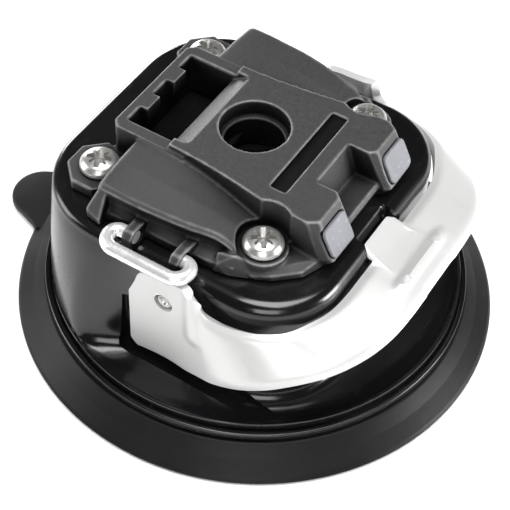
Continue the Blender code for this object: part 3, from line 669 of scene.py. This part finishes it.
def make_housing():
    """The glossy tower on its flared foot: sheer on the lever's side, sloped at the back."""
    foot_edge = [(0, 0.935, 8.55), (0, 0.95, 8.6), (0, 0.985, 8.6), (0, 0.996, 8.5), (0, 1.0, 8.3),
                 (0, 1.0, 6.5), (0, 0.995, 6.3), (0, 0.9, 6.3)]
    lever_side = bullnose(2.4, 0.0) + spline(
        [(0, 0, 28.4), (0, 0, 24.0), (0, 0, 18.0), (0, 0, 13.2), (0, 0.07, 9.7), (0, 0.3, 8.2),
         (0, 0.66, 7.8), (0, 0.90, 8.25)], 8) + foot_edge
    back_side = bullnose(1.3, 0.03) + spline(
        [(0, 0.035, 29.5), (0, 0.22, 27.0), (0, 0.45, 22.5), (0, 0.66, 17.8), (0, 0.80, 14.0),
         (0, 0.885, 11.2), (0, 0.925, 9.4), (0, 0.93, 8.6)], 8) + foot_edge
    housing = housing_shell("housing_fine", lever_side, back_side, FOOT, 288)
    top = DECK - 2.6
    inner_open = [(WALL, 0.0, top), (WALL, 0.0, 20.0), (WALL, 0.0, 12.0), (WALL, 0.0, 4.0)]
    inner_back = [(WALL, 0.0, top), (WALL, 0.42, 20.0), (WALL, 0.78, 12.0), (WALL, 0.9, 4.0)]
    cavity = housing_shell("cavity", inner_open, inner_back, FOOT - WALL, 96)
    cut(housing, cavity)
    guide = revolve("guide", [(9.6, 29.4), (9.6, 18.0), (6.9, 18.0), (6.9, 29.4)], 64, closed=True)
    bosses = [column(f"boss_{n}", x, y, 20.0, DECK - 1.0, 4.2, 40) for n, x, y in screw_places()]
    join(housing, guide, *bosses)
    slot = PIN_RADIUS + SLOT_GAP
    notch = rounded([(21.3, -4.7, 1.0), (23.0, -4.7, 0.6), (24.2, -5.8, 1.2), (28, -6.2, 0),
                     (28, 6.2, 0), (24.2, 5.8, 1.2), (23.0, 4.7, 0.6), (21.3, 4.7, 1.0)], 0, 6, True)
    notch_rows = []
    for z, lean in ((27.0, 0.7), (30.3, 0.12), (30.7, 0.0), (30.9, -0.15), (DECK, -0.35), (34.0, -1.2)):
        notch_rows.append([(x + lean * max(0.0, 24.2 - x) / 2.9, y, z) for x, y in notch])
    tools = [box("slot", (-slot, -32, PIN_Z - STEM_DROP - slot), (slot, 32, PIN_Z + slot)),
             column("well", 0, 0, 20.0, 33.0, 5.9, 64),
             from_faces("notch", *bridge(notch_rows))]
    for name, x, y in screw_places():
        tools.append(column(f"seat_{name}", x, y, 24.2, 33.0, 2.9, 32))
        tools.append(column(f"pilot_{name}", x, y, 20.9, 26.0, 1.9, 32))
    for side in (-1, 1):
        low, high = sorted((side * (TOWER_SIDE - 0.15), side * (TOWER_SIDE + 3.2)))
        channel = rounded([(-9.5, low), (21.0, low), (21.0, high), (-9.5, high)], 1.2, 5, True)
        tools.append(prism(f"channel_{side}", channel, 7.7, 20.0))
    cut(housing, *tools)
    finish(housing, GLOSS, "base", ["housing"], 28)


# ------------------------------------------------------------------ mounting plate

def wing(side):
    """Crowned wing: a loft along X of (y, z) sections with an undercut below its crease."""
    stations = [(-17.2, 11.5, 38.9, 23.5, 37.8, 24.4), (-16.6, 11.5, 39.25, 23.8, 38.15, 24.4),
                (-14.0, 11.6, 39.4, 23.9, 38.15, 24.1), (-9.5, 11.8, 39.2, 23.8, 38.0, 24.0),
                (-5.0, 12.1, 38.5, 23.5, 37.9, 24.0), (-0.5, 12.6, 37.7, 22.9, 37.6, 24.0),
                (4.0, 13.1, 36.8, 21.9, 37.2, 23.8), (6.4, 13.4, 36.3, 21.6, 36.4, 23.4),
                (8.8, 13.6, 35.9, 21.4, 34.8, 22.9)]
    rows = []
    for x, inner_y, inner_z, crease_y, crease_z, flange_y in spline(stations, 5):
        middle_y, middle_z = (inner_y + crease_y) / 2, (inner_z + crease_z) / 2
        drop = crease_z - 33.4
        section = [(9.0, PLATE_BOTTOM), (9.0, inner_z), (inner_y, inner_z),
                   (middle_y, middle_z + 0.25), (crease_y - 0.8, crease_z + 0.06),
                   (crease_y, crease_z - 0.5), (crease_y - 0.7, crease_z - 0.55 * drop),
                   (crease_y - 0.6, 33.9), (flange_y, 33.1), (flange_y, PLATE_BOTTOM)]
        rows.append([(x, side * y, z) for y, z in section])
    return from_faces(f"wing_{side}", *bridge(rows))


def wing_corners(side):
    """Angular blocks at the wing's rear and front ends."""
    rear = [(-17.5, 20.4, 37.4), (-16.6, 23.6, 38.0), (-15.2, 23.6, 37.9), (-18.3, 25.6, 33.4),
            (-15.2, 26.2, 32.6), (-18.4, 25.4, 31.3), (-15.2, 26.0, 31.3), (-15.0, 22.0, 31.3),
            (-18.6, 20.0, 31.3)]
    front = [(5.4, 22.4, 34.6), (6.0, 23.6, 33.2), (8.6, 22.0, 35.2), (8.4, 23.4, 31.3),
             (11.2, 22.2, 31.3), (12.2, 21.4, 31.3), (9.6, 21.4, 34.9), (12.2, 20.4, 31.8),
             (8.0, 19.0, 31.3), (5.4, 23.9, 31.3), (8.0, 20.0, 34.6)]
    return [faceted(f"rear_corner_{side}", sided(rear, side)),
            faceted(f"front_corner_{side}", sided(front, side))]


def prong(side):
    """One of the two blocks that stand at the front, either side of the notch."""
    points = [(9.0, 5.2, 40.6), (17.2, 5.2, 40.6), (18.34, 6.2, 40.6), (18.34, 12.6, 40.6),
              (16.6, 13.8, 40.6), (9.0, 13.4, 40.6), (20.9, 5.4, 33.5), (21.89, 6.3, 33.5),
              (21.8, 13.0, 33.5), (19.4, 14.0, 33.5), (9.0, 13.6, 33.6), (19.2, 5.6, 31.3),
              (20.2, 6.4, 31.3), (20.0, 12.8, 31.3), (18.4, 13.8, 31.3), (9.0, 13.6, 31.3),
              (9.0, 5.2, 31.3)]
    return faceted(f"prong_{side}", sided(points, side))


def front_foot(side):
    """The plate's low chamfered edge round the front screw."""
    points = [(8.0, 12.0, 33.6), (8.0, 21.6, 33.4), (11.6, 22.0, 32.2), (14.6, 20.6, 32.6),
              (18.2, 17.2, 32.6), (19.6, 13.4, 33.4), (17.0, 12.0, 33.6), (14.2, 19.4, 33.4),
              (8.0, 21.8, 31.3), (12.0, 21.8, 31.3), (14.8, 20.4, 31.3), (18.5, 17.0, 31.3),
              (20.0, 13.0, 31.3), (8.0, 12.0, 31.3), (17.0, 12.0, 31.3)]
    return faceted(f"front_foot_{side}", sided(points, side))


def ring_lug(low_x, high_x):
    """A lug that holds one end of the lanyard ring."""
    y, z = RING_Y, RING_Z
    section = [(y - 2.0, z - 1.2), (y - 2.0, z + 0.8), (y - 1.0, z + 1.9), (y + 1.2, z + 1.9),
               (y + 4.0, z + 1.4), (y + 4.0, z - 1.7), (y - 1.3, z - 1.7)]
    return faceted(f"lug_{low_x}", [(x, a, b) for x in (low_x, high_x) for a, b in section])


def pad_place(side):
    """Local X up the prong's front face, local Z out of it."""
    slope = Vector((18.34 - 21.54, 0, 40.6 - 34.2)).normalized()
    across = Vector((0, 1, 0))
    out = slope.cross(across)
    if out.x < 0:
        across, out = -across, -out
    turn = Matrix((slope, across, out)).transposed().to_4x4()
    return Matrix.Translation((20.367, side * 9.9, 36.549)) @ turn


def pad_shape(name, side, grow, bottom, top, ease):
    half_height, half_width = 2.8 + grow, 3.3 + grow
    corners = [(half_height, half_width), (-half_height, half_width),
               (-half_height, -half_width), (half_height, -half_width)]
    pad = slab(name, rounded(corners, 1.3, 6, True), bottom, top, ease, 4)
    pad.data.transform(pad_place(side))
    return pad


def block_sides():
    """Half outline of the main block: its flanks flare towards the front."""
    flare = spline([(-11.3, 11.6), (-5.0, 11.9), (1.5, 12.6), (7.5, 13.5), (10.0, 13.6)], 5)
    return rounded([(-11.3, 0.0, 0), *flare, (10.0, 0.0, 0)], 0)


def make_plate():
    """The moulded plate as one softened skin, with its window shelf, label inlay and grip pads."""
    pocket_half = [(-22.75, 10.8, 0.5), (-21.5, 12.05, 0.5), (-8.0, 12.05, 0.2)]
    pocket_outline = pocket_half + [(x, -y, r) for x, y, r in reversed(pocket_half)]
    plate = prism("mount_plate_fine", rounded(pocket_outline, 0.4, 3, True)[::-1],
                  PLATE_BOTTOM, POCKET_TOP)
    half = block_sides()
    outline = half[:-1] + [(x, -y) for x, y in reversed(half[:-1])][:-1]
    block = prism("block", outline, PLATE_BOTTOM, BLOCK_TOP)
    floor = [(9.0, 5.6, 34.6), (19.5, 5.6, 34.6), (19.9, 5.6, 33.8), (19.2, 5.6, PLATE_BOTTOM),
             (9.0, 5.6, PLATE_BOTTOM)]
    slope = [(9.0, 5.6, BLOCK_TOP), (13.4, 5.6, BLOCK_TOP), (15.4, 5.6, 34.0), (9.0, 5.6, 34.0)]
    solids = [block]
    for name, points in (("floor", floor), ("slope", slope)):
        solids.append(faceted(name, sided(points, 1) + sided(points, -1)))
    for side in (-1, 1):
        solids += [prong(side), wing(side), front_foot(side), *wing_corners(side)]
        ear = [(REAR_SCREW[0] + 5.7 * math.cos(math.radians(a)),
                side * REAR_SCREW[1] + 5.7 * math.sin(math.radians(a)))
               for a in range(22, 382, 45)]
        solids.append(prism(f"ear_{side}", ear, PLATE_BOTTOM, EAR_TOP))
        solids.append(column(f"seat_{side}", FRONT_SCREW[0], side * FRONT_SCREW[1],
                             PLATE_BOTTOM, FRONT_SEAT, 4.3, 48))
    solids += [ring_lug(-9.6, -7.6), ring_lug(-0.4, 1.6)]
    join(plate, *solids)
    pocket = box("pocket", (POCKET_BACK, -POCKET_SIDE, 30), (POCKET_FRONT, POCKET_SIDE, 45))
    section = [(-13.0, 38.4), (POCKET_FRONT, 38.4), (-8.6, 40.61), (-8.6, 43), (-13.0, 43)]
    lip = faceted("lip", [(x, y, z) for y in (-POCKET_SIDE, POCKET_SIDE) for x, z in section])
    cut(plate, pocket, lip)
    teeth = [box(f"tooth_{y}", (POCKET_BACK - 0.5, y - TOOTH_SIDE, TOOTH_BOTTOM),
                 (POCKET_BACK + 1.5, y + TOOTH_SIDE, POCKET_TOP))
             for y in (-4.0, 4.0)]
    join(plate, *teeth)
    tools = [column("window", WINDOW_X, 0, 37.4, 45, WINDOW_RADIUS, 96),
             column("window_step", WINDOW_X, 0, 30, 38, WINDOW_STEP_RADIUS, 96),
             box("label", (LABEL_BACK, -LABEL_SIDE, 39.6), (LABEL_FRONT, LABEL_SIDE, 42))]
    for name, x, y in screw_places():
        tools.append(column(f"hole_{name}", x, y, 30, 45, 1.9, 32))
        seat, room = (FRONT_SEAT, 4.5) if x > 0 else (EAR_TOP, 3.8)
        tools.append(column(f"room_{name}", x, y, seat, 45, room, 64))
    for side in (-1, 1):
        tools.append(pad_shape(f"pad_seat_{side}", side, 0.12, -0.5, 4.0, 0.01))
    bore = column("bore", 0, 0, -13, 3, RING_WIRE + 0.3, 32)
    bore.data.transform(Matrix.Translation((0, RING_Y, RING_Z)) @ Matrix.Rotation(math.pi / 2, 4, "Y"))
    cut(plate, *tools, bore)
    remesh = plate.modifiers.new("skin", "REMESH")
    remesh.mode = "VOXEL"
    remesh.voxel_size = SKIN_VOXEL
    soften = plate.modifiers.new("soften", "SMOOTH")
    soften.factor = 0.5
    soften.iterations = 3
    settle(plate)
    mark_edges(plate, EDGE_HEIGHT)
    finish(plate, MATTE, "base", ["mount_plate"], 60)
    shelf = slab("window_shelf", rounded(arc((WINDOW_X, 0), 5.15, 141, 219, 24), 0, 1, False),
                 33.4, 34.4, 0.15)
    finish(shelf, MATTE, "base")
    inlay = rounded([(7.7, -10.0), (10.35, -10.0), (10.35, 10.0), (7.7, 10.0)], 0.35, 4, True)
    finish(slab("label_inlay", inlay, 39.4, INLAY_TOP, 0.05, 2), LABEL, "base")
    for side, label in ((-1, "left"), (1, "right")):
        pad = pad_shape(f"grip_pad_{label}_fine", side, 0.0, -0.2, 0.45, 0.25)
        finish(pad, PAD_PAINTED_HIGHLIGHT, "base", [f"grip_pad_{label}"])


# ------------------------------------------------------------------ lever and pin

def lever_stations():
    """Upper, knee and lower edge of the sheet, from the ear's back to the handle's middle."""
    e = EAR_PLANE
    plain = [((-6.9, -e, 24.4), (-6.9, -e, 11.9)),
             ((-5.7, -e, 27.4), (-5.7, -e, 10.5)),
             ((-4.5, -e, 30.3), (-4.2, -e, 10.6)),
             ((-1.5, -e, 31.2), (-1.2, -e, 10.9)),
             ((1.5, -e, 31.4), (2.0, -29.5, 11.2)),
             ((4.2, -e, 31.5), (5.2, -30.3, 12.0)),
             ((6.0, -29.3, 30.6), (8.6, -31.4, 13.8)),
             ((6.7, -29.5, 28.8), (11.5, -32.4, 15.4)),
             ((8.2, -29.7, 27.3), (14.5, -32.9, 17.0)),
             ((11.0, -29.6, 26.9), (17.6, -32.8, 18.5)),
             ((14.2, -29.0, 27.0), (21.0, -31.7, 19.9)),
             ((17.6, -27.7, 27.1), (24.6, -29.5, 21.3)),
             ((20.7, -25.5, 27.2), (28.2, -26.5, 22.6)),
             ((22.8, -22.0, 27.3), (31.1, -23.0, 23.8)),
             ((24.4, -18.2, 27.4), (33.2, -19.2, 24.8)),
             ((25.0, -14.0, 27.5), (34.5, -15.0, 25.6)),
             ((25.1, -9.5, 27.6), (35.0, -10.0, 26.0)),
             ((25.1, -6.2, 27.6), (35.1, -6.6, 26.1))]
    rows = []
    for upper, lower in plain:
        knee = Vector(upper).lerp(Vector(lower), KNEE)
        rows.append((*upper, *knee, *lower))
    rows.append((24.9, -4.8, 27.7, 27.9, -5.0, 27.25, 35.1, -5.1, 26.1))
    rows.append((23.3, -4.3, 28.52, 26.6, -4.5, 27.45, 35.1, -4.6, 26.1))
    rows.append((22.5, -3.8, 28.84, 26.3, -3.9, 27.5, 35.1, -4.0, 26.1))
    rows.append((22.4, -2.8, 28.88, 26.2, -2.8, 27.5, 35.1, -2.8, 26.1))
    rows.append((22.4, 0.0, 28.88, 26.2, 0.0, 27.5, 35.1, 0.0, 26.1))
    return rows


def make_lever():
    """Pressed sheet with turned-down rims, a rib at each bend and a long rib on the handle."""
    across = 22
    first_rim_row, full_rim_row = 36, 60
    last_inner_rim_row, tongue_row = 100, 108
    bend_row, bend_rows = 34.0, 3.2
    rib_x, rib_width = 31.4, 0.95
    half = []
    stations = spline(lever_stations(), 6)
    for row in stations:
        upper, knee, lower = Vector(row[0:3]), Vector(row[3:6]), Vector(row[6:9])
        points = []
        for i in range(across + 1):
            t = i / across
            points.append(upper.lerp(knee, t / KNEE) if t < KNEE
                          else knee.lerp(lower, (t - KNEE) / (1 - KNEE)))
        half.append(points)
    shaped = []
    last = len(half) - 1
    for r, points in enumerate(half):
        along = half[min(r + 1, last)][across // 2] - half[max(r - 1, 0)][across // 2]
        if r == last:
            along = Vector((0, 1, 0))
        facing = along.cross(points[-1] - points[0]).normalized()
        if facing.y > 0.2 or facing.z < -0.2:
            facing = -facing
        turned = smooth_step(first_rim_row, full_rim_row, r)
        row = []
        for i, p in enumerate(points):
            t = i / across
            lift = -0.9 * turned * smooth_step(0.86, 1.0, t) ** 1.5
            inner_rim = 1 - smooth_step(last_inner_rim_row, tongue_row, r)
            lift -= 0.55 * turned * smooth_step(0.16, 0.0, t) * inner_rim
            ridge = (r - bend_row) / bend_rows
            lift += 0.75 * math.exp(-ridge * ridge) * smooth_step(0.62, 0.5, t)
            if p.y > -11 and t > 0.3:
                reach = smooth_step(9.6, 6.0, abs(p.y))
                side = (p.x - rib_x) / rib_width
                lift += 0.75 * reach * math.exp(-side * side)
            row.append(p + facing * lift)
        shaped.append(row)
    rows = [[tuple(p) for p in row] for row in shaped]
    rows += [[(x, -y, z) for x, y, z in row] for row in reversed(rows[:-1])]
    lever = from_faces("lever_fine", *bridge(rows, closed_rows=False, caps=False))
    sheet = lever.modifiers.new("sheet", "SOLIDIFY")
    sheet.thickness = SHEET
    sheet.offset = 0.0
    sheet.use_even_offset = True
    settle(lever)
    soft = lever.modifiers.new("soft", "BEVEL")
    soft.width = 0.32
    soft.segments = 3
    soft.limit_method = "ANGLE"
    soft.angle_limit = math.radians(50)
    settle(lever)
    bore = column("bore", 0, 0, -40, 40, PIN_RADIUS + 0.3, 48)
    bore.data.transform(Matrix.Translation((0, 0, PIN_Z)) @ Matrix.Rotation(math.pi / 2, 4, "X"))
    cut(lever, bore)
    finish(lever, STEEL, "lever_arm", ["lever"], 32)


def make_pin():
    """Riveted cross pin: a dimpled, slightly spread head at each end."""
    half = 29.7
    end = [(0.0, half - 0.5, 0), (0.55, half - 0.5, 0.2), (0.85, half - 0.1, 0.15), (1.2, half, 0.15),
           (1.5, half - 0.35, 0.15)]
    profile = rounded(end + [(r, -z, e) for r, z, e in reversed(end)], 0.1, 3)
    pin = revolve("pivot_pin_fine", profile, 64)
    pin.data.transform(Matrix.Translation((0, 0, PIN_Z)) @ Matrix.Rotation(math.pi / 2, 4, "X"))
    finish(pin, BRIGHT, "stem", ["pivot_pin"])


# ------------------------------------------------------------------ screws and lanyard ring

def tapered_bar(name, length, width, top, floor, turn):
    """A recess arm: wide at the top, narrowing to the floor."""
    rows = []
    for z, grow in ((floor, 0.72), (top, 1.25)):
        a, b = length / 2 * grow, width / 2 * grow
        corners = [(a, b), (-a, b), (-a, -b), (a, -b)]
        c, s = math.cos(turn), math.sin(turn)
        rows.append([(x * c - y * s, x * s + y * c, z) for x, y in corners])
    return from_faces(name, *bridge(rows))


def make_screw(name, x, y, turn):
    """Pan-head screw with an eight-armed recess, turned by the given angle."""
    under = (FRONT_SEAT if x > 0 else EAR_TOP) + 0.25
    head = [(0, under + 2.0, 0), (1.6, under + 1.93, 2), (2.75, under + 1.55, 1.0),
            (3.4, under + 0.8, 0.5), (3.5, under + 0.12, 0.1), (3.42, under, 0.05),
            (1.6, under, 0.1), (1.6, 23.0, 0.1), (0.9, 22.2, 0), (0, 22.2, 0)]
    screw = revolve("screw", rounded(head, 0.2, 4), 96)
    top, floor = under + 2.4, under + 0.55
    tools = [tapered_bar("a", 4.3, 0.85, top, floor, turn),
             tapered_bar("b", 4.3, 0.85, top, floor, turn + math.pi / 2),
             tapered_bar("c", 3.9, 0.42, top, floor + 0.45, turn + math.pi / 4),
             tapered_bar("d", 3.9, 0.42, top, floor + 0.45, turn - math.pi / 4)]
    core = column("core", 0, 0, floor - 0.25, top, 1.0, 24)
    cut(screw, *tools, core)
    screw.name = f"plate_screw_{name}_fine"
    screw.data.transform(Matrix.Translation((x, y, 0)))
    finish(screw, BRIGHT, "base", [f"plate_screw_{name}"], 30)


def make_lanyard_ring():
    """Bent wire ring, open at the back; its ends turn in along the swing axis."""
    left, right, reach, bend, low = -12.1, 3.4, 4.1, 1.6, 2.5
    route = [(-7.9, 0.0), (left + bend, 0.0)]
    route += arc((left + bend, -bend), bend, 97, 180, 12)
    route += arc((left + low, -reach + low), low, 187, 270, 12)
    route += arc((right - low, -reach + low), low, 270, 353, 12)
    route += arc((right - bend, -bend), bend, 0, 90, 12)
    route += [(-0.1, 0.0)]
    sides = 28
    rows = []
    for i, (x, y) in enumerate(route):
        x0, y0 = route[max(i - 1, 0)]
        x1, y1 = route[min(i + 1, len(route) - 1)]
        along = Vector((x1 - x0, y1 - y0)).normalized()
        across = Vector((-along.y, along.x))
        row = []
        for k in range(sides):
            a = 2 * math.pi * k / sides
            w = RING_WIRE * math.cos(a)
            row.append((x + across.x * w, RING_Y + y + across.y * w,
                        RING_Z + RING_WIRE * math.sin(a)))
        rows.append(row)
    ring = from_faces("lanyard_ring_fine", *bridge(rows))
    finish(ring, CHROME, "ring", ["lanyard_ring"], 50)


# ------------------------------------------------------------------ stage

def make_camera():
    """A long lens from the front left, above the part, with a slight roll."""
    azimuth, elevation, roll = map(math.radians, CAMERA_ANGLES)
    back = Vector((math.sin(azimuth) * math.cos(elevation),
                   -math.cos(azimuth) * math.cos(elevation), math.sin(elevation)))
    right = Vector((math.cos(azimuth), math.sin(azimuth), 0))
    up = back.cross(right)
    turned_right = right * math.cos(roll) + up * math.sin(roll)
    turned_up = up * math.cos(roll) - right * math.sin(roll)
    place = Matrix((turned_right, turned_up, back)).transposed().to_4x4()
    place.translation = Vector(CAMERA_TARGET) * MM + back * CAMERA_DISTANCE
    camera = bpy.data.cameras.new("camera")
    camera.lens = LENS
    camera.sensor_width = SENSOR
    camera.clip_start = 0.01
    seen = link("camera", camera)
    seen.matrix_world = place
    bpy.context.scene.camera = seen


def soft_light(name, place, target, size, power):
    """A rectangular soft box in metres and watts, facing its target."""
    light = bpy.data.lights.new(name, "AREA")
    light.shape = "RECTANGLE"
    light.size, light.size_y = size
    light.energy = power
    lamp = link(name, light)
    lamp.location = place
    lamp.rotation_euler = (Vector(target) - Vector(place)).to_track_quat("-Z", "Y").to_euler()


def make_stage():
    """Pale floor, dim sky that is lighter towards the horizon, and five soft boxes."""
    floor = slab("floor", arc((0, 0), 3000, 0, 357, 119), -6.0, 0.0, 2.0, 2)
    floor.data.transform(Matrix.Scale(MM, 4))
    floor.data.materials.append(floor_white())
    world = bpy.data.worlds.new("studio")
    bpy.context.scene.world = world
    world.use_nodes = True
    tree = world.node_tree
    direction = tree.nodes.new("ShaderNodeSeparateXYZ")
    tree.links.new(tree.nodes.new("ShaderNodeTexCoord").outputs["Generated"],
                   direction.inputs["Vector"])
    fade = tree.nodes.new("ShaderNodeMapRange")
    fade.interpolation_type = "SMOOTHSTEP"
    tree.links.new(direction.outputs["Z"], fade.inputs["Value"])
    for name, number in (("From Min", 0.02), ("From Max", 0.55), ("To Min", 1.25), ("To Max", 0.5)):
        fade.inputs[name].default_value = number
    tree.links.new(fade.outputs["Result"], tree.nodes["Background"].inputs["Strength"])
    soft_light("overhead", (0.05, 0.0, 0.6), (0, 0, 0.02), (0.36, 0.36), 4.2)
    soft_light("left", (-0.6, -0.25, 0.3), (0, 0, 0.02), (0.35, 0.45), 3.3)
    soft_light("front", (0.3, -0.55, 0.4), (0, 0, 0.02), (0.35, 0.35), 2.2)
    soft_light("back_left", (-0.5, 0.35, 0.12), (0, 0, 0.03), (0.25, 0.2), 2.5)
    soft_light("right", (0.55, 0.2, 0.14), (0, 0, 0.03), (0.25, 0.2), 4.2)


bpy.context.scene.view_settings.view_transform = "Standard"
make_camera()
make_cup()
make_base_ring()
make_housing()
make_plate()
make_lever()
make_pin()
for number, (label, px, py) in enumerate(screw_places()):
    make_screw(label, px, py, 0.35 + 0.9 * number)
make_lanyard_ring()
for node, look in (("core_disc", SPRING), ("lift_post", POST), ("return_spring", SPRING),
                   ("spring_seat", SPRING), ("guide_bush", NYLON), ("pin_washer_left", NYLON),
                   ("pin_washer_right", NYLON)):
    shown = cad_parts[node]
    shown.data.materials.clear()
    shown.data.materials.append(look)
for label, px, py in screw_places():
    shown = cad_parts[f"screw_insert_{label}"]
    shown.data.materials.clear()
    shown.data.materials.append(BRASS)
make_stage()
